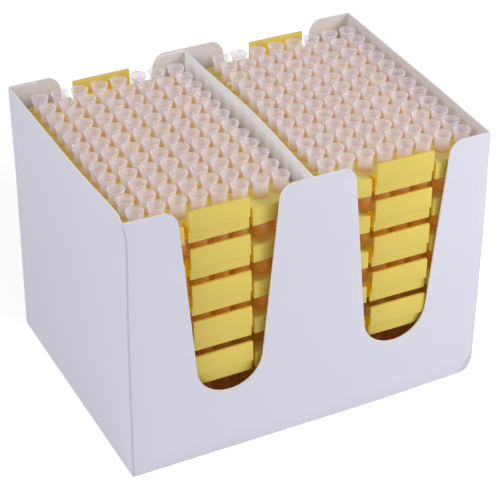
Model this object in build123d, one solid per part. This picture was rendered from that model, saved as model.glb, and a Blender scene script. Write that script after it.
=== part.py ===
from build123d import *
from math import cos, radians, sin, tan
import os

# An open carton that holds two stacks of five racks of pipette tips.
#
# Millimetres, +Z up. The origin is the middle of the carton's underside. The carton's long
# side lies along X. Its front and back walls, with the finger cut-outs, face -Y and +Y.

# Tip: lengths are measured down from its rim, widths are radii.
tip_length = 50.1
rim_radius = 3.62
lip_height = 0.5
lip_inner_radius = 3.22
throat_depth = 3.4
throat_outer_radius = 3.12
shank_depth = 15.0
shank_radius = 2.88
point_radius = 0.45
point_bore_radius = 0.22
tip_wall = 0.45
nest_clearance = 0.02

# Rack: one moulding with a perforated deck, a skirt round it and a label plate at each end.
hole_pitch = 9.0
columns = 8
rows = 12
side_margin = 6.0
end_margin = 8.6
rack_corner_radius = 2.5
rack_corner_setback = 2.0
deck_thickness = 1.6
skirt_height = 8.0
skirt_wall = 1.2
hole_clearance = 0.03
tip_stand = 7.8

# Label plate on both ends of each rack: it stands in a recess, with a slot each side of it.
# Its foot is set back from its face.
label_width = 26.2
label_foot_height = 5.4
label_foot_setback = 1.1
label_gap = 2.65
label_thickness = 1.4
label_proud = 1.0
label_corner_radius = 0.6
label_slot = 1.65
label_recess = 3.6

# Stacks: each stands a little to the right of the middle of its compartment.
racks_per_stack = 5
stack_pitch = 17.45
side_play = 3.05
end_gap = 1.6
headroom = 2.1
left_stack_shift = 0.2
right_stack_shift = 2.1

# Carton: one folded sheet, glued at the back left corner.
board = 0.7
fold_radius = 0.8
glue_flap_width = 13.0
glue_flap_drop = 0.8
cutout_inset = 2.2
cutout_shift = 1.6
cutout_radius = 15.0
cutout_floor = 30.75
cutout_slope = 5.3
cutout_corner_radius = 6.5

# Divider: one sheet folded to a C, its two flanges glued to the front and back walls.
divider_drop = 0.3
flange_width = 21.0
flange_inset = 1.1
divider_fold_radius = 0.4

# How near a corner counts as lying on a line, when the corners to round are picked.
tolerance = 0.001

# Worked out from the sizes above.
label_rise = stack_pitch - skirt_height - label_gap
recess_half_width = label_width / 2 + label_slot
rack_width = (columns - 1) * hole_pitch + 2 * side_margin
rack_length = (rows - 1) * hole_pitch + 2 * end_margin
label_front = rack_length / 2 + label_proud
compartment_width = rack_width + 2 * side_play
inner_length = 2 * compartment_width + board
inner_depth = 2 * (label_front + end_gap)
carton_length = inner_length + 2 * board
carton_depth = inner_depth + 2 * board
first_rim_height = board + tip_length
top_rim_height = first_rim_height + (racks_per_stack - 1) * stack_pitch
carton_height = top_rim_height + headroom
compartment_centre = (compartment_width + board) / 2
cutout_reach = compartment_centre - cutout_inset
cutout_centres = (cutout_shift - cutout_reach, cutout_shift + cutout_reach)
cutout_round_height = cutout_floor + cutout_radius
stack_places = {
    "left": left_stack_shift - compartment_centre,
    "right": right_stack_shift + compartment_centre,
}


def tip_outside(depth):
    """Outer radius of a tip's shank and cone at a depth below its rim."""
    if depth <= shank_depth:
        share = (depth - throat_depth) / (shank_depth - throat_depth)
        return throat_outer_radius + share * (shank_radius - throat_outer_radius)
    share = (depth - shank_depth) / (tip_length - shank_depth)
    return shank_radius + share * (point_radius - shank_radius)


def tip_solid():
    """One hollow tip, its rim at z = 0 and its point down.

    Its throat is the size at which the cone of the next tip up seats in it.
    """
    throat_radius = tip_outside(throat_depth + stack_pitch) + nest_clearance
    outline = Polyline(
        (lip_inner_radius, 0),
        (rim_radius, 0),
        (rim_radius, -lip_height),
        (throat_outer_radius, -throat_depth),
        (shank_radius, -shank_depth),
        (point_radius, -tip_length),
        (point_bore_radius, -tip_length),
        (shank_radius - tip_wall, -shank_depth),
        (throat_radius, -throat_depth),
        close=True,
    )
    return revolve(Plane.XZ * make_face(outline), Axis.Z)


def rack_outline(inset=0.0):
    """Plan of a rack: its ends are flat across the label and fall back to the corners."""
    half_width = rack_width / 2 - inset
    half_length = rack_length / 2 - inset
    corner_y = half_length - rack_corner_setback
    back_end = [
        (half_width, corner_y),
        (recess_half_width, half_length),
        (-recess_half_width, half_length),
        (-half_width, corner_y),
    ]
    front_end = [(-x, -y) for x, y in back_end]
    plan = make_face(Polyline(*back_end, *front_end, close=True))
    corners = plan.vertices().filter_by(lambda v: abs(v.X) > half_width - tolerance)
    return fillet(corners, rack_corner_radius - inset)


def recesses(grow=0.0):
    """Plan of the recesses behind the label plates at both ends."""
    size = (2 * (recess_half_width + grow), 2 * (label_recess + grow))
    return [Pos(0, end * rack_length / 2) * Rectangle(*size) for end in (-1, 1)]


def hole_places():
    """Centres of the holes in a rack's deck."""
    return GridLocations(hole_pitch, hole_pitch, columns, rows)


def label_plate():
    """A label plate for the front end: an upright face over a foot that is set back."""
    step = label_foot_height - skirt_height
    front = Plane((0, -label_front, 0), x_dir=(1, 0, 0), z_dir=(0, -1, 0))
    face = Pos(0, (label_rise + step) / 2) * Rectangle(label_width, label_rise - step)
    face = fillet(face.vertices().sort_by(Axis.Y)[-2:], label_corner_radius)
    foot = Box(
        label_width, label_thickness, label_foot_height + label_thickness,
        align=(Align.CENTER, Align.MIN, Align.MIN),
    )
    foot = Pos(0, label_foot_setback - label_front, -skirt_height) * foot
    return extrude(front * face, -label_thickness) + foot


def label_neck():
    """The bridge at deck level that holds the front label plate."""
    back = rack_length / 2 - label_recess
    return Pos(0, -back, -deck_thickness) * Box(
        label_width, label_front - back, deck_thickness, align=(Align.CENTER, Align.MAX, Align.MIN)
    )


def rack_solid():
    """One rack with the top of its deck at z = 0. Its skirt runs round behind the labels."""
    hole_radius = tip_outside(tip_stand) + hole_clearance
    outside = rack_outline() - recesses()
    inside = rack_outline(skirt_wall) - recesses(skirt_wall)
    deck = outside - [place * Circle(hole_radius) for place in hole_places()]
    rack = extrude(deck, -deck_thickness) + extrude(outside - inside, -skirt_height)
    for end in (0, 180):
        turn = Rot(0, 0, end)
        rack += turn * (label_neck() + label_plate())
    return rack


def cutout_face(margin=0.0):
    """A finger cut-out drawn in X and Z: a round foot, sloping sides and rounded top corners."""
    slope = radians(cutout_slope)
    radius = cutout_radius + margin
    top = carton_height - margin
    mouth_radius = cutout_corner_radius - margin
    foot_x = radius * cos(slope)
    foot_z = cutout_round_height - radius * sin(slope)
    top_x = foot_x + (top - foot_z) * tan(slope)
    shoulder_x = top_x + 2 * mouth_radius
    sides = Polyline((foot_x, foot_z), (top_x, top), (-top_x, top), (-foot_x, foot_z), close=True)
    face = make_face(sides) + Pos(0, cutout_round_height) * Circle(radius)
    face += Pos(0, top) * Rectangle(
        2 * shoulder_x, cutout_corner_radius, align=(Align.CENTER, Align.MIN)
    )
    mouth = [v for v in face.vertices() if abs(v.Y - top) < tolerance and abs(v.X) < shoulder_x - tolerance]
    return fillet(mouth, mouth_radius)


def cutouts(margin=0.0):
    """Cutters for the cut-outs, deep enough for a wall with a flange behind it."""
    wall_and_flange = 2 * board
    cutter = Part()
    for centre in cutout_centres:
        for wall in (-carton_depth / 2, carton_depth / 2):
            plane = Plane((centre, wall, 0), x_dir=(1, 0, 0), z_dir=(0, -1, 0))
            cutter += extrude(plane * cutout_face(margin), wall_and_flange + board, both=True)
    return cutter


def glue_flap():
    """The flap on the left wall, which lies inside the back wall, clear of the folds."""
    foot = board + fold_radius
    height = carton_height - glue_flap_drop - foot
    return Pos(fold_radius - inner_length / 2, inner_depth / 2, foot) * Box(
        glue_flap_width - fold_radius, board, height, align=(Align.MIN, Align.MAX, Align.MIN)
    )


def folded_block(length, depth, radius):
    """A block as tall as the carton, rounded at its upright and lowest edges."""
    block = Box(length, depth, carton_height, align=(Align.CENTER, Align.CENTER, Align.MIN))
    folds = block.edges().filter_by(Axis.Z) + block.faces().sort_by(Axis.Z)[0].edges()
    return fillet(folds, radius)


def carton_solid():
    """The carton: a folded sheet with a floor, four walls and a glued flap."""
    outside = folded_block(carton_length, carton_depth, fold_radius + board)
    inside = Pos(0, 0, board) * folded_block(inner_length, inner_depth, fold_radius)
    return outside - inside - cutouts() + glue_flap()


def divider_solid():
    """The divider: a panel on the middle line with a flange folded to the left at each end.

    It stands just above the round of the folds along the floor.
    """
    bottom = board + fold_radius
    height = carton_height - divider_drop - bottom
    block = Pos(board / 2, 0, bottom) * Box(
        flange_width + board, inner_depth, height, align=(Align.MAX, Align.CENTER, Align.MIN)
    )
    folds = block.edges().filter_by(Axis.Z).filter_by(lambda e: e.center().X > 0)
    block = fillet(folds, divider_fold_radius + board)
    hollow = Pos(-board / 2, 0, bottom) * Box(
        flange_width + board, inner_depth - 2 * board, height, align=(Align.MAX, Align.CENTER, Align.MIN)
    )
    folds = hollow.edges().filter_by(Axis.Z).filter_by(lambda e: e.center().X > -flange_width / 2)
    hollow = fillet(folds, divider_fold_radius)
    return block - hollow - cutouts(margin=flange_inset)


def stack_parts():
    """Racks and their tips, by node name, numbered from the floor up."""
    rack = rack_solid()
    tip = tip_solid()
    parts = {}
    for side, x in stack_places.items():
        for level in range(racks_per_stack):
            rim = first_rim_height + level * stack_pitch
            parts[f"rack_{side}_{level + 1}"] = Pos(x, 0, rim - tip_stand) * rack
            tips = [Pos(x, 0, rim) * place * tip for place in hole_places()]
            parts[f"tips_{side}_{level + 1}"] = Compound(children=tips)
    return parts


def main():
    """Write every node to its own STEP file."""
    parts = {"carton": carton_solid(), "divider": divider_solid()} | stack_parts()
    os.makedirs("parts", exist_ok=True)
    for name, shape in parts.items():
        export_step(shape, f"parts/{name}.step")
    print(f"carton {carton_length:.1f} x {carton_depth:.1f} x {carton_height:.1f} mm")


main()
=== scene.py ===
"""An open carton that holds two stacks of racked pipette tips, modelled round its CAD parts.

Lengths are in metres and +Z is up. The script is run as it stands and is never installed.
"""
import math
import random
from contextlib import contextmanager

import bmesh
import bpy
from bpy.props import FloatProperty, FloatVectorProperty, IntProperty, PointerProperty
from mathutils import Matrix, Quaternion, Vector


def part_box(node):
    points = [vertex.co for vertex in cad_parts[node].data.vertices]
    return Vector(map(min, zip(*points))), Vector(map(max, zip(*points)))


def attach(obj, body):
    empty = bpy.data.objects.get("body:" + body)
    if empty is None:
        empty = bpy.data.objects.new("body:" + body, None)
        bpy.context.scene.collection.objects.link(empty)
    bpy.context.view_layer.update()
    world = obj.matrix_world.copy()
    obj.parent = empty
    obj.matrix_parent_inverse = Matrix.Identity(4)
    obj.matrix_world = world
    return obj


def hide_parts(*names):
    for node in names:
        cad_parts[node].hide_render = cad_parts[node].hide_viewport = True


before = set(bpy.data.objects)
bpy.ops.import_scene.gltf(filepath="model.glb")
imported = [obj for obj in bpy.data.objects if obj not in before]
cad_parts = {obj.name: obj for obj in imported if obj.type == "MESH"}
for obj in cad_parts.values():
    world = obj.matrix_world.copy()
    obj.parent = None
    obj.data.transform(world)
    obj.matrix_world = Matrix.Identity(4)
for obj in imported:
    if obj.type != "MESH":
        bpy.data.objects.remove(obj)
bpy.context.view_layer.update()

bl_info = {
    "name": "Pipette tip carton",
    "version": (1, 0, 0),
    "blender": (4, 5, 0),
    "location": "View3D > Sidebar > Tip carton",
    "description": "Models an open carton with two stacks of racked pipette tips",
    "category": "Object",
}

MM = 0.001
CARTON_LOW, CARTON_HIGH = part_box("carton")

# The stacks, the racks in each from the floor up, and the holes in a rack.
SIDES = ("left", "right")
LEVELS = (1, 2, 3, 4, 5)
TOP_LEVEL = LEVELS[-1]
COLUMNS = 8
ROWS = 12

# The places of the materials on a piece of board, on a rack and on a tip.
OUTER_FACE, INNER_FACE, CUT_EDGE, FOLD_SHADE, CREASE = range(5)
PLAIN, AMBER_SHADE, LIT_DECK_TOP = range(3)
MILKY, RIM_HIGHLIGHT = range(2)

# How near counts as touching, and how much of a normal along an axis counts as facing along it.
NEAR = 0.05 * MM
FACING = 0.9

# How high the glue flap and the divider start above the underside of the carton.
FOOT_GAP = 1.5 * MM

# How the carton's top corners have sprung, in mm, by their end in X and in Y, and how far that bends
# the walls.
TOP_CORNER_MOVES = {
    (0, 0): (1.3, 1.5, 0),
    (1, 0): (-0.8, -0.35, 0),
    (0, 1): (-0.4, 0.35, 0),
    (1, 1): (0.25, -1.0, 0),
}
TOP_CORNER_REACH = 50 * MM

# How the knocked corner is cut back, in mm along X, Y and Z from the corner. The creases lie beside
# one of the cuts and are counted from it.
KNOCK_CUTS = ((5.8, 4.0, 2.4), (3.3, 4.0, 6.0), (2.1, 4.0, 8.7))
CREASED_CUT = KNOCK_CUTS[1]
CREASES = (1, 2)


# ---- Settings ----

def length(name, description, millimetres):
    """A length that a user can change, given in millimetres."""
    return FloatProperty(
        name=name, description=description, default=millimetres * MM, unit="LENGTH", precision=5
    )


def angle(name, description, degrees):
    """An angle that a user can change, given in degrees."""
    return FloatProperty(
        name=name, description=description, default=math.radians(degrees), unit="ROTATION"
    )


def colour(name, description, red, green, blue):
    """A colour that a user can change, as linear values."""
    return FloatVectorProperty(
        name=name, description=description, default=(red, green, blue, 1.0), subtype="COLOR",
        size=4, min=0.0, max=1.0,
    )


def number(name, description, default, unit="NONE"):
    """A number that a user can change."""
    return FloatProperty(name=name, description=description, default=default, unit=unit)


def whole_number(name, description, default):
    """A whole number that a user can change."""
    return IntProperty(name=name, description=description, default=default)


class CartonSettings(bpy.types.PropertyGroup):
    """Sizes and colours of the folded carton and its divider."""
    board: length("Board", "Thickness of the board", 0.7)
    left_room: length("Left room", "Room between the left wall and the CAD box, for the wall's bow", 0.5)
    right_room: length("Right room", "Room between the right wall and the CAD box", 0.3)
    end_room: length("End room", "Room between the front and back walls and the CAD box", 0.45)
    top_room: length("Top room", "Room between the top edge and the CAD box", 0.15)
    fold_radius: length("Fold radius", "Outer radius of the folds", 0.75)
    mesh_step: length("Mesh step", "Spacing of the edges across the walls", 7.0)
    cutout_inset: length("Cut-out inset", "How far the cut-outs stand towards the middle of the carton", 2.2)
    cutout_shift: length("Cut-out shift", "How far both pairs of cut-outs stand to the right", 1.6)
    cutout_radius: length("Cut-out radius", "Radius of the round foot of a cut-out", 15.0)
    cutout_floor: length("Cut-out floor", "Height of the foot of a cut-out", 30.75)
    cutout_slope: angle("Cut-out slope", "How far the sides of a cut-out lean out", 5.3)
    cutout_corner: length("Cut-out corner", "Radius of the board's corners beside a cut-out", 6.5)
    knock_lift: length("Knock lift", "How far the knocked corner stands up", 1.0)
    knock_reach: length("Knock reach", "How far the carton is bent round the knocked corner", 58.0)
    crease_length: length("Crease length", "How far the creases reach from the knocked corner", 16.0)
    crease_gap: length("Crease gap", "From the knocked corner to each crease in turn", 1.0)
    crease_width: length("Crease width", "Half width of a crease", 0.2)
    crease_depth: length("Crease depth", "Depth of a crease", 0.25)
    flare: length("Flare", "How far the top of the front left fold has sprung out", 1.7)
    flare_reach: length("Flare reach", "How far down that fold has sprung", 11.0)
    flap_width: length("Glue flap width", "Width of the glued flap", 13.0)
    flap_drop: length("Glue flap drop", "How far the flap stops under the top edge", 0.8)
    flange_width: length("Flange width", "Width of the divider's flanges", 21.0)
    flange_inset: length("Flange inset", "How far the divider's flanges stand back from the cut-outs", 1.1)
    divider_drop: length("Divider drop", "How far the divider stops under the top edge", 0.3)
    divider_bow: length("Divider bow", "How far the top of the divider bows to the right", 2.0)
    coating: colour("Coating", "Coated outer face of the board", 0.74, 0.735, 0.85)
    # Fold: painted shade, a darker coating colour for the faces of the upright folds.
    fold: colour("Fold", "Painted shade on the coated face along the upright folds", 0.62, 0.61, 0.72)
    # Crease grey: a darker grey for the board in the creases of the knocked corner.
    crease_grey: colour("Crease grey", "Darker grey board in the creases", 0.52, 0.52, 0.55)
    inner_face: colour("Inner face", "Uncoated inner face of the board", 0.78, 0.73, 0.74)
    cut_edge: colour("Cut edge", "Cut edge of the board", 0.92, 0.88, 0.86)
    divider_face: colour("Divider face", "Thin board of the divider", 0.92, 0.94, 1.0)


class RackSettings(bpy.types.PropertyGroup):
    """Sizes and colours of the racks."""
    hole_pitch: length("Hole pitch", "Distance between the holes", 9.0)
    hole_radius: length("Hole radius", "Radius of the holes in the deck", 3.06)
    hole_sides: whole_number("Hole sides", "Sides of each hole", 12)
    deck: length("Deck", "Thickness of the deck", 1.6)
    skirt_height: length("Skirt height", "Height of the skirt from the top of the deck", 8.0)
    skirt_wall: length("Skirt wall", "Thickness of the skirt", 1.2)
    corner_setback: length("Corner setback", "How far the ends fall back to the corners", 2.0)
    corner_radius: length("Corner radius", "Radius of the corners in plan", 2.5)
    edge_radius: length("Edge radius", "Radius of the label's edges", 0.22)
    body_edge_radius: length("Body edge radius", "Radius of the deck's and the skirt's edges", 0.35)
    left_lean: number("Left lean", "Sideways lean of the left stack for each metre of height", 0.027)
    left_push: length("Left push", "How far the left stack stands towards the back", 0.4)
    right_turn: angle("Right turn", "Turn of the right stack in its compartment", -0.7)
    right_push: length("Right push", "How far the right stack stands towards the back", -0.6)
    label_width: length("Label width", "Width of a label plate", 26.2)
    foot_height: length("Foot height", "Height of the foot of a label plate", 5.4)
    foot_setback: length("Foot setback", "How far the foot is set back from the face of its plate", 1.1)
    label_thickness: length("Label thickness", "Thickness of a label plate", 1.4)
    label_proud: length("Label proud", "How far a label plate stands in front of the ends beside it", 1.0)
    slot: length("Slot", "Width of the slot each side of a label plate", 1.65)
    recess: length("Recess", "Depth of the recess behind a label plate", 3.6)
    plastic: colour("Plastic", "Yellow plastic", 0.79, 0.615, 0.115)
    # Lit deck top: painted light, the same yellow plastic made paler and lighter on top of the deck between
    # the tips.
    lit_deck_top: colour("Lit deck top", "Painted light on the deck between the tips", 0.81, 0.68, 0.16)
    # Amber shade: painted shade and light, a deeper amber for the plastic inside the rack, with a painted
    # glow.
    amber_shade: colour("Amber shade", "The plastic inside the rack, lit through its walls", 0.84, 0.55, 0.003)


class TipSettings(bpy.types.PropertyGroup):
    """Sizes and colours of the tips. Widths are radii."""
    sides: whole_number("Sides", "Sides of a tip in the top racks", 16)
    hidden_sides: whole_number("Hidden sides", "Sides of a tip in the lower racks", 10)
    length: length("Length", "Length of a tip", 50.1)
    rim: length("Rim", "Radius of the rim", 3.62)
    rim_height: length("Rim height", "Height of the rim's straight edge", 0.5)
    mouth: length("Mouth", "Inner radius at the rim", 3.38)
    throat_depth: length("Throat depth", "Depth of the flared mouth", 3.4)
    throat: length("Throat", "Outer radius under the flare", 3.12)
    throat_bore: length("Throat bore", "Inner radius under the flare", 2.50)
    shank_depth: length("Shank depth", "Depth at which the cone starts", 15.0)
    shank: length("Shank", "Outer radius where the cone starts", 2.88)
    shank_bore: length("Shank bore", "Inner radius where the cone starts", 2.43)
    point: length("Point", "Radius of the point", 0.35)
    stand: length("Stand", "How far the rim stands above the deck", 7.8)
    tilt: angle("Tilt", "How far a tip may lean in its hole", 1.5)
    lift: length("Lift", "How far a tip may stand high or low", 0.25)
    plastic: colour("Plastic", "Milky plastic", 0.89, 0.80, 0.91)
    # Rim highlight: painted highlight, a lighter colour for the top of the thin rim.
    rim_highlight: colour("Rim highlight", "Painted highlight on the milky plastic at the thin rim", 0.92, 0.87, 0.88)
    # Glow, amber and shade are painted light and shade on the tips: the yellow light from the deck near
    # them, the light that reaches them through the yellow racks lower down, and the shade near the carton's
    # floor.
    glow: colour("Glow", "Painted light on the plastic near the yellow deck", 0.86, 0.70, 0.40)
    amber: colour("Amber", "The plastic low in the stacks, lit through yellow walls", 0.87, 0.46, 0.08)
    shade: colour("Shade", "The plastic near the carton's floor", 0.40, 0.13, 0.03)


class StageSettings(bpy.types.PropertyGroup):
    """Camera, floor and lights."""
    target: FloatVectorProperty(
        name="Target", description="Point at the middle of the view", default=(0.00065, -0.00419, 0.05612),
        subtype="XYZ", unit="LENGTH",
    )
    distance: length("Distance", "Camera to target", 813.3)
    azimuth: angle("Azimuth", "Camera's turn round the carton", -26.88)
    elevation: angle("Elevation", "Camera's height as an angle", 33.37)
    roll: angle("Roll", "Camera's turn about its own axis", 0.42)
    lens: length("Lens", "Focal length on a 36 mm sensor", 134.64)
    floor: colour("Floor", "Pale floor", 0.90, 0.90, 0.90)
    ambient: number("Ambient", "Strength of the light from all round", 0.40)
    key_power: number("Key power", "Power of the lamp on the right", 2.3, unit="POWER")
    fill_power: number("Fill power", "Power of the lamp on the left", 3.6, unit="POWER")


SETTINGS = {
    "tip_carton_board": CartonSettings,
    "tip_carton_rack": RackSettings,
    "tip_carton_tip": TipSettings,
    "tip_carton_stage": StageSettings,
}


# ---- Modelling helpers ----

def only(obj):
    """Makes obj the one selected and active object."""
    bpy.ops.object.select_all(action="DESELECT")
    obj.select_set(True)
    bpy.context.view_layer.objects.active = obj


@contextmanager
def editing(obj):
    """Edit mode on obj, with nothing selected to start with."""
    only(obj)
    bpy.ops.object.mode_set(mode="EDIT")
    bpy.ops.mesh.select_all(action="DESELECT")
    yield
    bpy.ops.object.mode_set(mode="OBJECT")


def middle(element):
    """Middle of an edge or a face, or the place of a vertex."""
    if isinstance(element, bmesh.types.BMVert):
        return element.co
    points = [vertex.co for vertex in element.verts]
    return sum(points, Vector()) / len(points)


def pick(obj, kind, test):
    """In edit mode, selects the elements of one kind that pass the test."""
    bpy.ops.mesh.select_mode(type=kind)
    bpy.ops.mesh.select_all(action="DESELECT")
    mesh = bmesh.from_edit_mesh(obj.data)
    elements = {"VERT": mesh.verts, "EDGE": mesh.edges, "FACE": mesh.faces}[kind]
    chosen = [element for element in elements if test(element)]
    if not chosen:
        raise RuntimeError(f"nothing to select on {obj.name}")
    for element in chosen:
        element.select_set(True)
    mesh.select_flush_mode()
    bmesh.update_edit_mesh(obj.data)


def add_box(name, low, high):
    """A box from its two corners, with its place in its mesh."""
    centre = [(a + b) / 2 for a, b in zip(low, high)]
    size = [b - a for a, b in zip(low, high)]
    bpy.ops.mesh.primitive_cube_add(size=1, location=centre, scale=size)
    bpy.ops.object.transform_apply(location=True, rotation=True, scale=True)
    box = bpy.context.object
    box.name = name
    return box


def near(first, second):
    """True for two lengths that count as the same."""
    return abs(first - second) < NEAR


def extrude(x, y, z):
    """In edit mode, extrudes what is selected by a move."""
    bpy.ops.mesh.extrude_region_move(TRANSFORM_OT_translate={"value": (x, y, z)})


def slice_at(obj, axis, places):
    """In edit mode, adds an edge ring across the whole mesh at each place along an axis."""
    normal = Vector([float(i == axis) for i in range(3)])
    for place in places:
        bpy.ops.mesh.select_all(action="SELECT")
        bpy.ops.mesh.bisect(plane_co=normal * place, plane_no=normal)


def steps(low, high, step):
    """Evenly spaced places between two ends, about one step apart and clear of the ends."""
    count = max(1, round((high - low) / step))
    return [low + (high - low) * i / count for i in range(1, count)]


def modify(obj, kind, **values):
    """Adds a modifier with the given values and applies it."""
    only(obj)
    modifier = obj.modifiers.new(kind.title(), kind)
    for key, value in values.items():
        setattr(modifier, key, value)
    bpy.ops.object.modifier_apply(modifier=modifier.name)


def combine(obj, tool, operation):
    """Cuts the tool out of obj, or joins it on, and removes the tool."""
    modify(obj, "BOOLEAN", object=tool, operation=operation, solver="EXACT")
    bpy.data.objects.remove(tool)


def push(obj, centre, move, reach, falloff="SMOOTH"):
    """In edit mode, pulls the mesh round a point, less and less out to the reach."""
    nearest = min(bmesh.from_edit_mesh(obj.data).verts, key=lambda v: (v.co - Vector(centre)).length)
    place = nearest.co.copy()
    pick(obj, "VERT", lambda v: (v.co - place).length < NEAR)
    bpy.ops.transform.translate(
        value=move, use_proportional_edit=True, proportional_edit_falloff=falloff,
        proportional_size=reach,
    )


def smooth(obj, degrees=35):
    """Smooth shading except across sharp edges."""
    only(obj)
    bpy.ops.object.shade_smooth_by_angle(angle=math.radians(degrees))


def moved_copy(obj, name, matrix):
    """A copy of obj with its own mesh, moved within its mesh."""
    copy = obj.copy()
    copy.data = obj.data.copy()
    copy.data.transform(matrix)
    copy.name = copy.data.name = name
    bpy.context.collection.objects.link(copy)
    return copy


def hand_in(piece, slot, *nodes):
    """Sets a finished piece in place of its CAD nodes."""
    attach(piece, "root")
    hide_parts(*nodes)


# ---- Materials ----

class Paint:
    """A material under construction: its nodes and its links."""

    def __init__(self, name):
        self.material = bpy.data.materials.new(name)
        self.material.use_nodes = True
        self.tree = self.material.node_tree
        self.shader = self.tree.nodes["Principled BSDF"]

    def node(self, kind, **inputs):
        """Adds a node; inputs are values or sockets, by name."""
        return add_node(self.tree, kind, **inputs)


def add_node(tree, kind, settings=None, **inputs):
    """Adds a node to a tree and fills its inputs, by name with _ for a space, or as input0, input1."""
    node = tree.nodes.new(kind)
    for key, value in (settings or {}).items():
        setattr(node, key, value)
    for key, value in inputs.items():
        name = key.replace("_", " ")
        numbered = name.startswith("input")
        socket = node.inputs[int(name.removeprefix("input"))] if numbered else node.inputs[name]
        if isinstance(value, bpy.types.NodeSocket):
            tree.links.new(value, socket)
        else:
            socket.default_value = value
    return node


def maths(tree, operation, *values):
    """Adds a Math node on values or sockets, and gives its result."""
    inputs = {f"input{i}": value for i, value in enumerate(values)}
    return add_node(tree, "ShaderNodeMath", {"operation": operation}, **inputs).outputs[0]


def new_group(name, inputs, outputs):
    """A shader node group with named inputs and outputs, and its two end nodes."""
    group = bpy.data.node_groups.new(name, "ShaderNodeTree")
    for label, kind, default in inputs:
        socket = group.interface.new_socket(name=label, in_out="INPUT", socket_type=kind)
        if default is not None:
            socket.default_value = default
    for label, kind in outputs:
        group.interface.new_socket(name=label, in_out="OUTPUT", socket_type=kind)
    return group, group.nodes.new("NodeGroupInput"), group.nodes.new("NodeGroupOutput")


def grain_group():
    """Fine grain: a height for bump and a mottled colour."""
    if "Grain" in bpy.data.node_groups:
        return bpy.data.node_groups["Grain"]
    group, start, end = new_group(
        "Grain",
        [
            ("Color", "NodeSocketColor", (1, 1, 1, 1)),
            ("Fine Scale", "NodeSocketFloat", 3000.0),
            ("Patch Scale", "NodeSocketFloat", 60.0),
            ("Mottle", "NodeSocketFloat", 0.03),
        ],
        [("Color", "NodeSocketColor"), ("Height", "NodeSocketFloat")],
    )
    place = add_node(group, "ShaderNodeTexCoord").outputs["Object"]
    fine_scale, patch_scale = start.outputs["Fine Scale"], start.outputs["Patch Scale"]
    fine = add_node(group, "ShaderNodeTexNoise", Vector=place, Scale=fine_scale, Detail=3.0)
    patch = add_node(group, "ShaderNodeTexNoise", Vector=place, Scale=patch_scale, Detail=2.0)
    both = maths(group, "ADD", fine.outputs["Fac"], patch.outputs["Fac"])
    swing = maths(group, "SUBTRACT", 1.0, both)
    amount = maths(group, "MULTIPLY", swing, start.outputs["Mottle"])
    value = maths(group, "ADD", 1.0, amount)
    tinted = add_node(group, "ShaderNodeHueSaturation", Color=start.outputs["Color"], Value=value)
    group.links.new(tinted.outputs["Color"], end.inputs["Color"])
    group.links.new(fine.outputs["Fac"], end.inputs["Height"])
    return group


def grained(paint, colour_input, fine_scale, patch_scale, mottle, depth):
    """Gives a material a mottled colour and a fine bump."""
    grain = paint.node("ShaderNodeGroup", settings={"node_tree": grain_group()})
    if isinstance(colour_input, bpy.types.NodeSocket):
        paint.tree.links.new(colour_input, grain.inputs["Color"])
    else:
        grain.inputs["Color"].default_value = colour_input
    grain.inputs["Fine Scale"].default_value = fine_scale
    grain.inputs["Patch Scale"].default_value = patch_scale
    grain.inputs["Mottle"].default_value = mottle
    bump = paint.node("ShaderNodeBump", Height=grain.outputs["Height"], Distance=depth, Strength=0.5)
    paint.tree.links.new(grain.outputs["Color"], paint.shader.inputs["Base Color"])
    paint.tree.links.new(bump.outputs["Normal"], paint.shader.inputs["Normal"])


def board_material(name, face_colour, roughness):
    """Carton board: a faint mottle and the fine tooth of paper."""
    paint = Paint(name)
    grained(paint, face_colour, fine_scale=2500.0, patch_scale=45.0, mottle=0.03, depth=0.03 * MM)
    paint.shader.inputs["Roughness"].default_value = roughness
    return paint.material


def rack_material(name, plastic, depth, glow=0.0):
    """Yellow moulded plastic that passes a little light, as much as depth says; glow gives it a painted glow
    in its own colour.
    """
    paint = Paint(name)
    grained(paint, plastic, fine_scale=1800.0, patch_scale=70.0, mottle=0.05, depth=0.02 * MM)
    paint.shader.inputs["Roughness"].default_value = 0.42
    paint.shader.inputs["Subsurface Weight"].default_value = depth
    paint.shader.inputs["Subsurface Radius"].default_value = (1.0, 0.55, 0.08)
    paint.shader.inputs["Subsurface Scale"].default_value = 3.0 * MM
    # Painted glow in the plastic's own colour, as strong as glow says.
    paint.shader.inputs["Emission Color"].default_value = plastic
    paint.shader.inputs["Emission Strength"].default_value = glow
    return paint.material


def levels_down(paint, top, pitch):
    """How far a point lies under the top rims, counted in levels."""
    place = paint.node("ShaderNodeTexCoord").outputs["Object"]
    height = paint.node("ShaderNodeSeparateXYZ", Vector=place).outputs["Z"]
    below = maths(paint.tree, "SUBTRACT", top, height)
    return maths(paint.tree, "DIVIDE", below, pitch)


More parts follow.
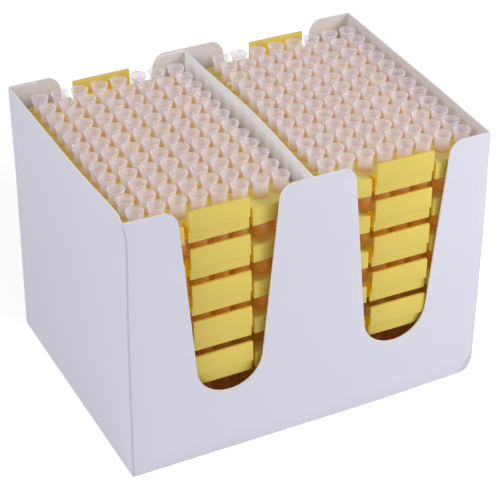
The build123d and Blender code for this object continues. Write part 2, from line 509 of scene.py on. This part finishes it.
def tip_material(values, top, pitch):
    """Milky translucent plastic with painted light and shade by height: warmer near the deck, amber low in
    the stacks and dark near the floor.
    """
    paint = Paint("milky tip plastic with painted light")
    levels = levels_down(paint, top, pitch)
    below_own_rims = maths(paint.tree, "FRACT", levels)
    ramp = paint.node("ShaderNodeValToRGB", Fac=below_own_rims)
    # Painted light on each level's tips: plain at the rim, warmer towards the deck, amber under it.
    stops = ((0.0, values.plastic), (0.24, values.plastic), (0.41, values.glow), (0.54, values.amber))
    while len(ramp.color_ramp.elements) < len(stops):
        ramp.color_ramp.elements.new(0.5)
    for element, (place, stop_colour) in zip(ramp.color_ramp.elements, stops):
        element.position = place
        element.color = stop_colour
    # Painted light and shade lower down: amber below the top racks, then dark towards the carton's floor.
    lower = blend_by_level(paint, levels, ramp.outputs["Color"], values.amber, start=0.7, end=1.3)
    tinted = blend_by_level(paint, levels, lower, values.shade, start=3.0, end=4.8)
    grained(paint, tinted, fine_scale=1500.0, patch_scale=90.0, mottle=0.05, depth=0.01 * MM)
    frosted(paint, cover=0.36, glow=0.10)
    # The painted glow takes the tips' painted colours.
    paint.tree.links.new(tinted, paint.shader.inputs["Emission Color"])
    return paint.material


def blend_by_level(paint, levels, upper, lower, start, end):
    """Turns from one colour to another between two levels, counted down from the top rims."""
    share = paint.node("ShaderNodeMapRange", Value=levels, From_Min=start, From_Max=end)
    blend = paint.node(
        "ShaderNodeMix", settings={"data_type": "RGBA"}, input0=share.outputs[0], input6=upper,
        input7=lower,
    )
    return blend.outputs[2]


def rim_highlight_material(values):
    """Painted highlight: the same plastic, lighter and not see-through, on the thin rim that catches the
    light.
    """
    paint = Paint("painted rim highlight")
    grained(
        paint, values.rim_highlight, fine_scale=1500.0, patch_scale=90.0, mottle=0.03, depth=0.01 * MM
    )
    frosted(paint, cover=1.0, glow=0.0)
    return paint.material


def frosted(paint, cover, glow):
    """A soft, frosted gloss: cover says how much it hides, glow how strong a painted glow it gives off."""
    paint.shader.inputs["Roughness"].default_value = 0.55
    paint.shader.inputs["Alpha"].default_value = cover
    paint.shader.inputs["Subsurface Weight"].default_value = 1.0
    paint.shader.inputs["Subsurface Radius"].default_value = (1.0, 0.7, 0.6)
    paint.shader.inputs["Subsurface Scale"].default_value = 4.0 * MM
    # Painted glow: a faint pinkish light that the plastic gives off.
    paint.shader.inputs["Emission Color"].default_value = (1.0, 0.86, 0.82, 1.0)
    paint.shader.inputs["Emission Strength"].default_value = glow


# ---- Carton and divider ----

def board_slots(obj, values, thin=False):
    """Gives a board piece its materials: outer face, inner face, cut edge, painted shade on the folds and a
    darker grey for the creases.
    """
    finishes = [
        ("coated board", values.coating, 0.45),
        ("uncoated board", values.inner_face, 0.85),
        ("cut board edge", values.cut_edge, 0.9),
        ("painted fold shade", values.fold, 0.5),
        ("grey crease board", values.crease_grey, 0.9),
    ]
    if thin:
        finishes[OUTER_FACE] = ("divider board", values.divider_face, 0.8)
    for name, face_colour, roughness in finishes:
        material = bpy.data.materials.get(name) or board_material(name, face_colour, roughness)
        obj.data.materials.append(material)


def finish_whole(obj, values, finish):
    """Gives a board piece its materials, and one of them on all its faces."""
    board_slots(obj, values)
    for face in obj.data.polygons:
        face.material_index = finish


def thicken(obj, values):
    """Gives a folded skin the thickness of the board, inwards, and its finishes."""
    finishes = [face.material_index for face in obj.data.polygons]
    for face in obj.data.polygons:
        face.material_index = OUTER_FACE
    modify(
        obj, "SOLIDIFY", thickness=values.board, offset=-1.0, use_even_offset=True,
        material_offset=INNER_FACE, material_offset_rim=CUT_EDGE,
    )
    for face, finish in zip(obj.data.polygons, finishes):
        face.material_index = finish


def cutout_tool(values, centre, ends, margin):
    """A cutter with the outline of a cut-out, run along Y between two ends."""
    slope = values.cutout_slope
    radius = values.cutout_radius + margin
    corner = values.cutout_corner - margin
    round_height = values.cutout_floor + values.cutout_radius
    top = CARTON_HIGH.z - margin
    foot_x = radius * math.cos(slope)
    foot_z = round_height - radius * math.sin(slope)
    top_x = foot_x + (top - foot_z) * math.tan(slope)
    middle_y = sum(ends) / 2
    overhang = 3 * corner
    tool = add_box("cutout_tool", (-foot_x, ends[0], foot_z), (foot_x, ends[1], top))
    with editing(tool):
        pick(tool, "FACE", lambda f: f.normal.z > FACING)
        bpy.ops.transform.resize(value=(top_x / foot_x, 1, 1), center_override=(0, 0, top))
        extrude(0, 0, overhang)
        for side in (-1, 1):
            pick(tool, "FACE", lambda f: f.normal.x * side > FACING and middle(f).z > top + NEAR)
            extrude(side * overhang, 0, 0)
        pick(tool, "EDGE", lambda e: near(middle(e).z, top) and near(abs(middle(e).x), top_x)
             and near(middle(e).y, middle_y))
        turn = math.pi / 2 - slope
        bpy.ops.mesh.bevel(offset=corner * math.tan(turn / 2), segments=8, affect="EDGES")
    bpy.ops.mesh.primitive_cylinder_add(
        vertices=64, radius=radius, depth=ends[1] - ends[0], location=(0, middle_y, round_height),
        rotation=(math.pi / 2, 0, 0),
    )
    foot = bpy.context.object
    bpy.ops.object.transform_apply(location=True, rotation=True, scale=True)
    combine(tool, foot, "UNION")
    finish_whole(tool, values, CUT_EDGE)
    tool.data.transform(Matrix.Translation((centre, 0, 0)))
    return tool


def cut_out(obj, values, margin=0.0):
    """Cuts the four finger cut-outs, two pairs in line through the front and back walls."""
    middle_x = (CARTON_HIGH.x - values.board / 2) / 2
    reach = CARTON_HIGH.y + 5 * MM
    for side in (-1, 1):
        centre = values.cutout_shift + side * (middle_x - values.cutout_inset)
        combine(obj, cutout_tool(values, centre, (-reach, reach), margin), "DIFFERENCE")


def knock(corner, cut):
    """The plane of one cut of the knocked corner: a point on it and its normal, outwards."""
    across = Vector((1 / cut[0], -1 / cut[1], -1 / cut[2])) / MM
    outwards = across.normalized()
    return corner - outwards / across.length, outwards


def crush_corner(carton, values, corner):
    """Rounds off the lowest right corner of the front, where the carton was knocked."""
    for cut in KNOCK_CUTS:
        flat, outwards = knock(corner, cut)
        bpy.ops.mesh.select_all(action="SELECT")
        bpy.ops.mesh.bisect(plane_co=flat, plane_no=outwards, clear_outer=True, use_fill=True)
    flat, outwards = knock(corner, CREASED_CUT)
    for count in CREASES:
        crease(carton, values, flat - outwards * count * values.crease_gap, outwards)


def crease(carton, values, place, outwards):
    """A shallow crease in the walls beside the knocked corner."""
    for offset in (-values.crease_width, 0.0, values.crease_width):
        bpy.ops.mesh.select_all(action="SELECT")
        bpy.ops.mesh.bisect(plane_co=place + outwards * offset, plane_no=outwards)
    pick(carton, "VERT", lambda v: abs((v.co - place).dot(outwards)) < NEAR
         and (v.co - place).length < values.crease_length)
    bpy.ops.transform.translate(value=-outwards * values.crease_depth)


def finish_folds(carton, values, corner):
    """Paints shade on the upright folds as a darker coating, and gives the creases of the knocked corner a
    darker grey.
    """
    flat, outwards = knock(corner, CREASED_CUT)
    for face in carton.data.polygons:
        # Painted shade: the faces of the upright folds take the darker fold colour.
        if abs(face.normal.x) > 0.2 and abs(face.normal.y) > 0.2 and abs(face.normal.z) < 0.3:
            face.material_index = FOLD_SHADE
        depth = (flat - face.center).dot(outwards)
        creased = any(
            abs(depth - count * values.crease_gap) < values.crease_width for count in CREASES
        )
        beside = (face.center - flat).length < values.crease_length
        # The creases of the knocked corner take the darker crease grey.
        if creased and beside and face.normal.y < -0.6:
            face.material_index = CREASE


def add_flap(carton, values, low, high):
    """Joins on the glued flap, which lies inside the back wall in the left corner."""
    glue = 0.02 * MM
    corner_x = low[0] + values.fold_radius + values.board
    wall_y = high[1] - values.board - glue
    top = high[2] - values.flap_drop
    flap = add_box(
        "glue_flap", (corner_x, wall_y - values.board, low[2] + FOOT_GAP),
        (low[0] + values.flap_width, wall_y, top),
    )
    with editing(flap):
        slice_at(flap, 2, steps(low[2], top, values.mesh_step))
        push(flap, (corner_x, wall_y, top), Vector(TOP_CORNER_MOVES[0, 1]) * MM, TOP_CORNER_REACH)
    finish_whole(flap, values, INNER_FACE)
    only(carton)
    flap.select_set(True)
    bpy.ops.object.join()


def bow_left_wall(carton, values, wall_x, top):
    """Bows the left wall out, most a little behind its middle, within the room beside it."""
    widest_y = 12 * MM
    reach = 62 * MM
    share = 0.9
    push(carton, (wall_x, widest_y, top), (-share * values.left_room, 0, 0), reach)


def make_carton(values):
    """The carton: one folded sheet with a floor, four walls and a glued flap."""
    low = (CARTON_LOW.x + values.left_room, CARTON_LOW.y + values.end_room, CARTON_LOW.z)
    high = (
        CARTON_HIGH.x - values.right_room, CARTON_HIGH.y - values.end_room, CARTON_HIGH.z - values.top_room
    )
    knock_move = Vector((0.1 * MM, 0.5 * MM, values.knock_lift))
    knocked = Vector((high[0], low[1], low[2])) + knock_move
    flare_move = (-values.flare, 0.5 * MM, 0)
    carton = add_box("folded_carton", low, high)
    with editing(carton):
        pick(carton, "FACE", lambda f: f.normal.z > FACING)
        bpy.ops.mesh.delete(type="FACE")
        pick(carton, "EDGE", lambda e: middle(e).z < high[2] - NEAR)
        bpy.ops.mesh.bevel(offset=values.fold_radius, segments=3, affect="EDGES")
        for axis in range(3):
            slice_at(carton, axis, steps(low[axis], high[axis], values.mesh_step))
        bow_left_wall(carton, values, low[0], high[2])
        for (end_x, end_y), move in TOP_CORNER_MOVES.items():
            corner = ((low[0], high[0])[end_x], (low[1], high[1])[end_y], high[2])
            push(carton, corner, Vector(move) * MM, TOP_CORNER_REACH)
        push(carton, (low[0], low[1], high[2]), flare_move, values.flare_reach, "SHARP")
        push(carton, (high[0], low[1], low[2]), knock_move, values.knock_reach)
        crush_corner(carton, values, knocked)
    board_slots(carton, values)
    finish_folds(carton, values, knocked)
    thicken(carton, values)
    cut_out(carton, values)
    add_flap(carton, values, low, high)
    smooth(carton)
    return carton


def make_divider(values):
    """The divider: one sheet folded to a C, its flanges flat on the front and back walls."""
    inner_y = CARTON_HIGH.y - values.end_room - values.board
    panel_x = values.board / 2
    fold_radius = 0.9 * MM
    bow_reach = 60 * MM
    low = (panel_x - values.flange_width, -inner_y, CARTON_LOW.z + FOOT_GAP)
    high = (panel_x, inner_y, CARTON_HIGH.z - values.divider_drop)
    divider = add_box("folded_divider", low, high)
    with editing(divider):
        pick(divider, "FACE", lambda f: abs(f.normal.z) > FACING or f.normal.x < -FACING)
        bpy.ops.mesh.delete(type="FACE")
        pick(divider, "EDGE", lambda e: near(middle(e).x, panel_x)
             and near(abs(middle(e).y), inner_y))
        bpy.ops.mesh.bevel(offset=fold_radius, segments=3, affect="EDGES")
        for axis in (1, 2):
            slice_at(divider, axis, steps(low[axis], high[axis], values.mesh_step))
        push(divider, (panel_x, 0, high[2]), (values.divider_bow, 0, 0), bow_reach)
    board_slots(divider, values, thin=True)
    thicken(divider, values)
    cut_out(divider, values, values.flange_inset)
    for face in divider.data.polygons:
        if face.material_index != CUT_EDGE:
            face.material_index = INNER_FACE if abs(face.normal.y) > 0.5 else OUTER_FACE
    smooth(divider)
    return divider


# ---- Racks ----

def recess_half_width(values):
    """Half the width of a recess: of the label plate in it and the slots beside the plate."""
    return values.label_width / 2 + values.slot


def rack_body(values, half_width, half_length):
    """Deck and skirt of a rack with the top of the deck at z = 0, recessed behind the labels."""
    flat_half = values.label_width / 2
    recess_half = recess_half_width(values)
    clear = 1 * MM
    body = add_box(
        "rack", (-half_width, -half_length, -values.skirt_height), (half_width, half_length, 0)
    )
    with editing(body):
        slice_at(body, 0, (-flat_half, flat_half))
        for side in (-1, 1):
            pick(body, "VERT", lambda v: abs(v.co.x) > half_width - NEAR and v.co.y * side > 0)
            bpy.ops.transform.translate(value=(0, -side * values.corner_setback, 0))
        pick(body, "EDGE", lambda e: abs(middle(e).x) > half_width - NEAR
             and near(middle(e).z, -values.skirt_height / 2))
        bpy.ops.mesh.bevel(offset=values.corner_radius, segments=4, affect="EDGES")
    for side in (-1, 1):
        low_y, high_y = sorted((side * (half_length - values.recess), side * (half_length + clear)))
        recess = add_box(
            "recess_tool", (-recess_half, low_y, -2 * values.skirt_height),
            (recess_half, high_y, values.skirt_height),
        )
        combine(body, recess, "DIFFERENCE")
    with editing(body):
        pick(body, "FACE", lambda f: f.normal.z < -FACING)
        bpy.ops.mesh.inset(thickness=values.skirt_wall, use_even_offset=True)
        extrude(0, 0, values.skirt_height - values.deck)
        sharp = 0.9
        pick(body, "EDGE", lambda e: e.calc_face_angle(0) > sharp
             and is_outer_edge(e, values, half_width, half_length))
        bpy.ops.mesh.bevel(offset=values.body_edge_radius, segments=3, affect="EDGES")
    return body


def is_outer_edge(edge, values, half_width, half_length):
    """True for the edges that can be seen: those round the deck and on the outside of the skirt."""
    x, y, depth = (abs(part) for part in middle(edge))
    recess_half = recess_half_width(values)
    share = max(0, (x - recess_half) / (half_width - recess_half))
    end = half_length - share * values.corner_setback
    reach = 0.75 * values.skirt_wall
    return depth < NEAR or x > half_width - reach or y > end - reach


def label_plate(values, half_length, rise):
    """The front label plate: an upright face over a foot that is set back."""
    half = values.label_width / 2
    step = values.foot_height - values.skirt_height
    front = -half_length - values.label_proud
    foot_front = front + values.foot_setback
    plate = add_box("label", (-half, front, step), (half, front + values.label_thickness, rise))
    foot = add_box(
        "foot", (-half, foot_front, -values.skirt_height),
        (half, foot_front + values.label_thickness, step + values.label_thickness),
    )
    for piece in (plate, foot):
        modify(piece, "BEVEL", width=values.edge_radius, segments=2)
    combine(plate, foot, "UNION")
    return plate


def hole_places(values):
    """Centres of the holes in a rack, from its middle."""
    for row in range(ROWS):
        for column in range(COLUMNS):
            x = (column - (COLUMNS - 1) / 2) * values.hole_pitch
            y = (row - (ROWS - 1) / 2) * values.hole_pitch
            yield Vector((x, y, 0))


def drill_holes(rack, values):
    """Drills the holes through the deck with one drill, repeated."""
    bpy.ops.mesh.primitive_cylinder_add(
        vertices=values.hole_sides, radius=values.hole_radius, depth=4 * values.deck,
        location=next(hole_places(values)),
    )
    drill = bpy.context.object
    bpy.ops.object.transform_apply(location=True, rotation=True, scale=True)
    for count, offset in ((COLUMNS, (values.hole_pitch, 0, 0)), (ROWS, (0, values.hole_pitch, 0))):
        modify(
            drill, "ARRAY", count=count, use_relative_offset=False, use_constant_offset=True,
            constant_offset_displace=offset,
        )
    combine(rack, drill, "DIFFERENCE")


def make_rack(values, half_width, half_length, rise):
    """One rack with the top of its deck at z = 0: deck, skirt and a label plate at each end."""
    rack = rack_body(values, half_width, half_length)
    neck_half = values.label_width / 2
    overlap = 0.2 * MM
    for turn in (0, math.pi):
        plate = label_plate(values, half_length, rise)
        neck_front = -half_length - values.label_proud + values.label_thickness / 2
        neck_back = -half_length + values.recess + overlap
        neck = add_box("neck", (-neck_half, neck_front, -values.deck), (neck_half, neck_back, 0))
        for extra in (neck, plate):
            extra.data.transform(Matrix.Rotation(turn, 4, "Z"))
            combine(rack, extra, "UNION")
    drill_holes(rack, values)
    smooth(rack)
    finish_rack(rack, values, half_width, half_length)
    return rack


def finish_rack(rack, values, half_width, half_length):
    """Gives a rack its plain yellow outside, painted amber shade with a painted glow inside, and a paler
    painted-light yellow on top of the deck.
    """
    finishes = (
        rack_material("yellow rack plastic", values.plastic, depth=0.25),
        rack_material("painted amber shade plastic", values.amber_shade, depth=1.0, glow=0.12),
        rack_material("painted light deck plastic", values.lit_deck_top, depth=0.5),
    )
    for finish in finishes:
        rack.data.materials.append(finish)
    recess_half = recess_half_width(values)
    recess_back = half_length - values.recess
    end_face = half_length - values.corner_setback - values.skirt_wall / 2
    foot_face = half_length + values.label_proud - values.foot_setback
    for face in rack.data.polygons:
        x, y, z = abs(face.center.x), abs(face.center.y), face.center.z
        outer_side = x > half_width - values.skirt_wall / 2 and abs(face.normal.x) > 0.5
        outwards = face.normal.y * face.center.y > 0.3 * y
        label_front = z > NEAR or (
            outwards and y > foot_face - values.edge_radius and x < recess_half - NEAR
        )
        end_front = y > end_face and x > recess_half - NEAR
        shown = outer_side or label_front or (end_front and face.normal.z > -0.5)
        lit_deck_top = z > -NEAR and face.normal.z > 0.5
        # Faces inside the rack take the painted amber shade and its painted glow.
        face.material_index = PLAIN if shown else AMBER_SHADE
        # The top of the deck takes the paler painted-light yellow.
        if lit_deck_top and y < recess_back:
            face.material_index = LIT_DECK_TOP


def stack_pose(values, side):
    """How a whole stack has settled: the left one leans, the right one is turned."""
    low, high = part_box(f"tips_{side}_{TOP_LEVEL}")
    centre = (low + high) / 2
    there = Matrix.Translation((centre.x, centre.y, high.z))
    if side == "left":
        back = values.left_push
        settled = Matrix.Shear("XY", 4, (-values.left_lean, 0))
    else:
        back = values.right_push
        settled = Matrix.Rotation(values.right_turn, 4, "Z")
    return Matrix.Translation((0, back, 0)) @ there @ settled @ there.inverted()


# ---- Tips ----

def make_tip(values, sides, finishes):
    """One tip with its rim at z = 0: a ring drawn down the outside and back up the bore."""
    outline = (
        (values.rim, values.rim_height),
        (values.throat, values.throat_depth),
        (values.shank, values.shank_depth),
        (values.point, values.length),
        (values.shank_bore, values.shank_depth),
        (values.throat_bore, values.throat_depth),
        (values.mouth, 0.0),
    )
    bpy.ops.mesh.primitive_circle_add(vertices=sides, radius=values.rim)
    tip = bpy.context.object
    tip.name = "tip"
    radius, depth = values.rim, 0.0
    with editing(tip):
        bpy.ops.mesh.select_all(action="SELECT")
        for next_radius, next_depth in outline:
            extrude(0, 0, depth - next_depth)
            scale = next_radius / radius
            bpy.ops.transform.resize(value=(scale, scale, 1), center_override=(0, 0, -next_depth))
            radius, depth = next_radius, next_depth
        pick(tip, "EDGE", lambda e: e.is_boundary)
        bpy.ops.mesh.bridge_edge_loops()
        bpy.ops.mesh.select_all(action="SELECT")
        bpy.ops.mesh.normals_make_consistent(inside=False)
    smooth(tip, degrees=40)
    for finish in finishes:
        tip.data.materials.append(finish)
    for face in tip.data.polygons:
        # The top of the rim takes the painted highlight.
        on_rim = face.normal.z > 0.5 and face.center.z > -NEAR
        face.material_index = RIM_HIGHLIGHT if on_rim else MILKY
    return tip


def tip_set(name, tip, places, values, chance, freedom):
    """A rack's tips as one piece, each leaning a little in its hole and standing high or low."""
    hole = Matrix.Translation((0, 0, -values.stand))
    copies = []
    for place in places:
        way = Matrix.Rotation(chance.uniform(0, math.tau), 4, "Z")
        tilt = Matrix.Rotation(chance.uniform(-1, 1) * values.tilt * freedom, 4, "X")
        lift = Vector((0, 0, chance.uniform(-1, 1) * values.lift * freedom))
        pose = Matrix.Translation(place + lift) @ hole @ way @ tilt @ way.inverted() @ hole.inverted()
        copies.append(moved_copy(tip, name, pose))
    bpy.ops.object.select_all(action="DESELECT")
    for copy in copies:
        copy.select_set(True)
    bpy.context.view_layer.objects.active = copies[0]
    bpy.ops.object.join()
    copies[0].name = name
    return copies[0]


# ---- Stage ----

def make_floor(values):
    """A wide pale floor that shows white to the camera and keeps the soft shadow."""
    glow_strength = 0.45
    bpy.ops.mesh.primitive_plane_add(size=12.0)
    floor = bpy.context.object
    floor.name = "floor"
    paint = Paint("pale floor")
    paint.shader.inputs["Base Color"].default_value = values.floor
    paint.shader.inputs["Roughness"].default_value = 0.9
    path = paint.node("ShaderNodeLightPath")
    paint.shader.inputs["Emission Color"].default_value = (1, 1, 1, 1)
    glow = maths(paint.tree, "MULTIPLY", path.outputs["Is Camera Ray"], glow_strength)
    paint.tree.links.new(glow, paint.shader.inputs["Emission Strength"])
    floor.data.materials.append(paint.material)


def make_world(values):
    """Even light from all round, which the camera sees as white."""
    world = bpy.data.worlds.new("studio")
    world.use_nodes = True
    bpy.context.scene.world = world
    tree = world.node_tree
    background = tree.nodes["Background"]
    path = add_node(tree, "ShaderNodeLightPath")
    strength = maths(tree, "MAXIMUM", path.outputs["Is Camera Ray"], values.ambient)
    background.inputs["Color"].default_value = (1, 1, 1, 1)
    tree.links.new(strength, background.inputs["Strength"])


def add_lamp(name, place, target, size, power):
    """A large soft lamp aimed at a point."""
    bpy.ops.object.light_add(type="AREA", location=place)
    lamp = bpy.context.object
    lamp.name = name
    lamp.data.shape = "DISK"
    lamp.data.size = size
    lamp.data.energy = power
    lamp.rotation_mode = "QUATERNION"
    lamp.rotation_quaternion = (Vector(target) - Vector(place)).to_track_quat("-Z", "Y")


def make_lamps(values):
    """A soft key lamp near the front on the right, and a fill further off on the left."""
    aim = (0, 0, 0.06)
    add_lamp("key", place=(0.42, -0.42, 0.42), target=aim, size=0.3, power=values.key_power)
    add_lamp("fill", place=(-0.9, -0.1, 0.6), target=aim, size=0.6, power=values.fill_power)


def make_camera(values):
    """A camera turned round the carton, a little rolled."""
    bpy.ops.object.camera_add()
    camera = bpy.context.object
    out = Vector((
        math.sin(values.azimuth) * math.cos(values.elevation),
        -math.cos(values.azimuth) * math.cos(values.elevation),
        math.sin(values.elevation),
    ))
    camera.location = Vector(values.target) + out * values.distance
    camera.rotation_mode = "QUATERNION"
    camera.rotation_quaternion = (-out).to_track_quat("-Z", "Y") @ Quaternion((0, 0, 1), values.roll)
    camera.data.sensor_width = 36.0
    camera.data.lens = values.lens / MM
    bpy.context.scene.camera = camera


# ---- Operators and panel ----

class TIPCARTON_OT_carton(bpy.types.Operator):
    """Folds the carton"""
    bl_idname = "tip_carton.carton"
    bl_label = "Carton"

    def execute(self, context):
        carton = make_carton(context.scene.tip_carton_board)
        hand_in(carton, "board", "carton")
        return {"FINISHED"}


class TIPCARTON_OT_divider(bpy.types.Operator):
    """Folds the divider"""
    bl_idname = "tip_carton.divider"
    bl_label = "Divider"

    def execute(self, context):
        divider = make_divider(context.scene.tip_carton_board)
        hand_in(divider, "board", "divider")
        return {"FINISHED"}


class TIPCARTON_OT_racks(bpy.types.Operator):
    """Moulds one rack and stacks its copies"""
    bl_idname = "tip_carton.racks"
    bl_label = "Racks"

    def execute(self, context):
        values = context.scene.tip_carton_rack
        low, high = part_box("rack_left_1")
        half_width = (high.x - low.x) / 2
        half_length = (high.y - low.y) / 2 - values.label_proud
        rise = high.z - low.z - values.skirt_height
        rack = make_rack(values, half_width, half_length, rise)
        for side in SIDES:
            for level in LEVELS:
                node = f"rack_{side}_{level}"
                low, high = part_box(node)
                centre = (low + high) / 2
                place = Matrix.Translation((centre.x, centre.y, low.z + values.skirt_height))
                place = stack_pose(values, side) @ place
                hand_in(moved_copy(rack, f"yellow_{node}", place), "rack_plastic", node)
        bpy.data.objects.remove(rack)
        return {"FINISHED"}


class TIPCARTON_OT_tips(bpy.types.Operator):
    """Moulds one tip and fills the racks with its copies"""
    bl_idname = "tip_carton.tips"
    bl_label = "Tips"

    def execute(self, context):
        values = context.scene.tip_carton_tip
        rack_values = context.scene.tip_carton_rack
        seed = 5
        hidden_freedom = 0.3
        top, below = (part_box(f"tips_left_{level}")[1].z for level in (TOP_LEVEL, TOP_LEVEL - 1))
        finishes = (tip_material(values, top, top - below), rim_highlight_material(values))
        shown = make_tip(values, values.sides, finishes)
        hidden = make_tip(values, values.hidden_sides, finishes)
        chance = random.Random(seed)
        for side in SIDES:
            for level in LEVELS:
                node = f"tips_{side}_{level}"
                low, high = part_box(node)
                rims = Vector(((low.x + high.x) / 2, (low.y + high.y) / 2, high.z))
                places = [place + rims for place in hole_places(rack_values)]
                tip, freedom = (shown, 1.0) if level == TOP_LEVEL else (hidden, hidden_freedom)
                tips = tip_set(f"milky_{node}", tip, places, values, chance, freedom)
                tips.data.transform(stack_pose(rack_values, side))
                hand_in(tips, "tip_plastic", node)
        for tip in (shown, hidden):
            bpy.data.objects.remove(tip)
        return {"FINISHED"}


class TIPCARTON_OT_stage(bpy.types.Operator):
    """Sets the floor, the lights and the camera"""
    bl_idname = "tip_carton.stage"
    bl_label = "Stage"

    def execute(self, context):
        values = context.scene.tip_carton_stage
        make_floor(values)
        make_world(values)
        make_lamps(values)
        make_camera(values)
        context.scene.view_settings.view_transform = "Standard"
        return {"FINISHED"}


class TIPCARTON_PT_panel(bpy.types.Panel):
    """Sizes, colours and makers of the tip carton"""
    bl_idname = "TIPCARTON_PT_panel"
    bl_label = "Tip carton"
    bl_space_type = "VIEW_3D"
    bl_region_type = "UI"
    bl_category = "Tip carton"

    def draw(self, context):
        for maker in MAKERS:
            self.layout.operator(maker.bl_idname)
        for name, kind in SETTINGS.items():
            box = self.layout.box()
            for key in kind.__annotations__:
                box.prop(getattr(context.scene, name), key)


MAKERS = (
    TIPCARTON_OT_carton,
    TIPCARTON_OT_divider,
    TIPCARTON_OT_racks,
    TIPCARTON_OT_tips,
    TIPCARTON_OT_stage,
)


def register():
    """Registers the settings, the makers and the panel."""
    for kind in (*SETTINGS.values(), *MAKERS, TIPCARTON_PT_panel):
        bpy.utils.register_class(kind)
    for name, kind in SETTINGS.items():
        setattr(bpy.types.Scene, name, PointerProperty(type=kind))


def unregister():
    """Removes what register added."""
    for name in SETTINGS:
        delattr(bpy.types.Scene, name)
    for kind in (TIPCARTON_PT_panel, *reversed(MAKERS), *SETTINGS.values()):
        bpy.utils.unregister_class(kind)


def main():
    """Makes every piece and the stage."""
    register()
    bpy.ops.object.select_all(action="DESELECT")
    for maker in MAKERS:
        group, name = maker.bl_idname.split(".")
        getattr(getattr(bpy.ops, group), name)()


if __name__ == "__main__":
    main()
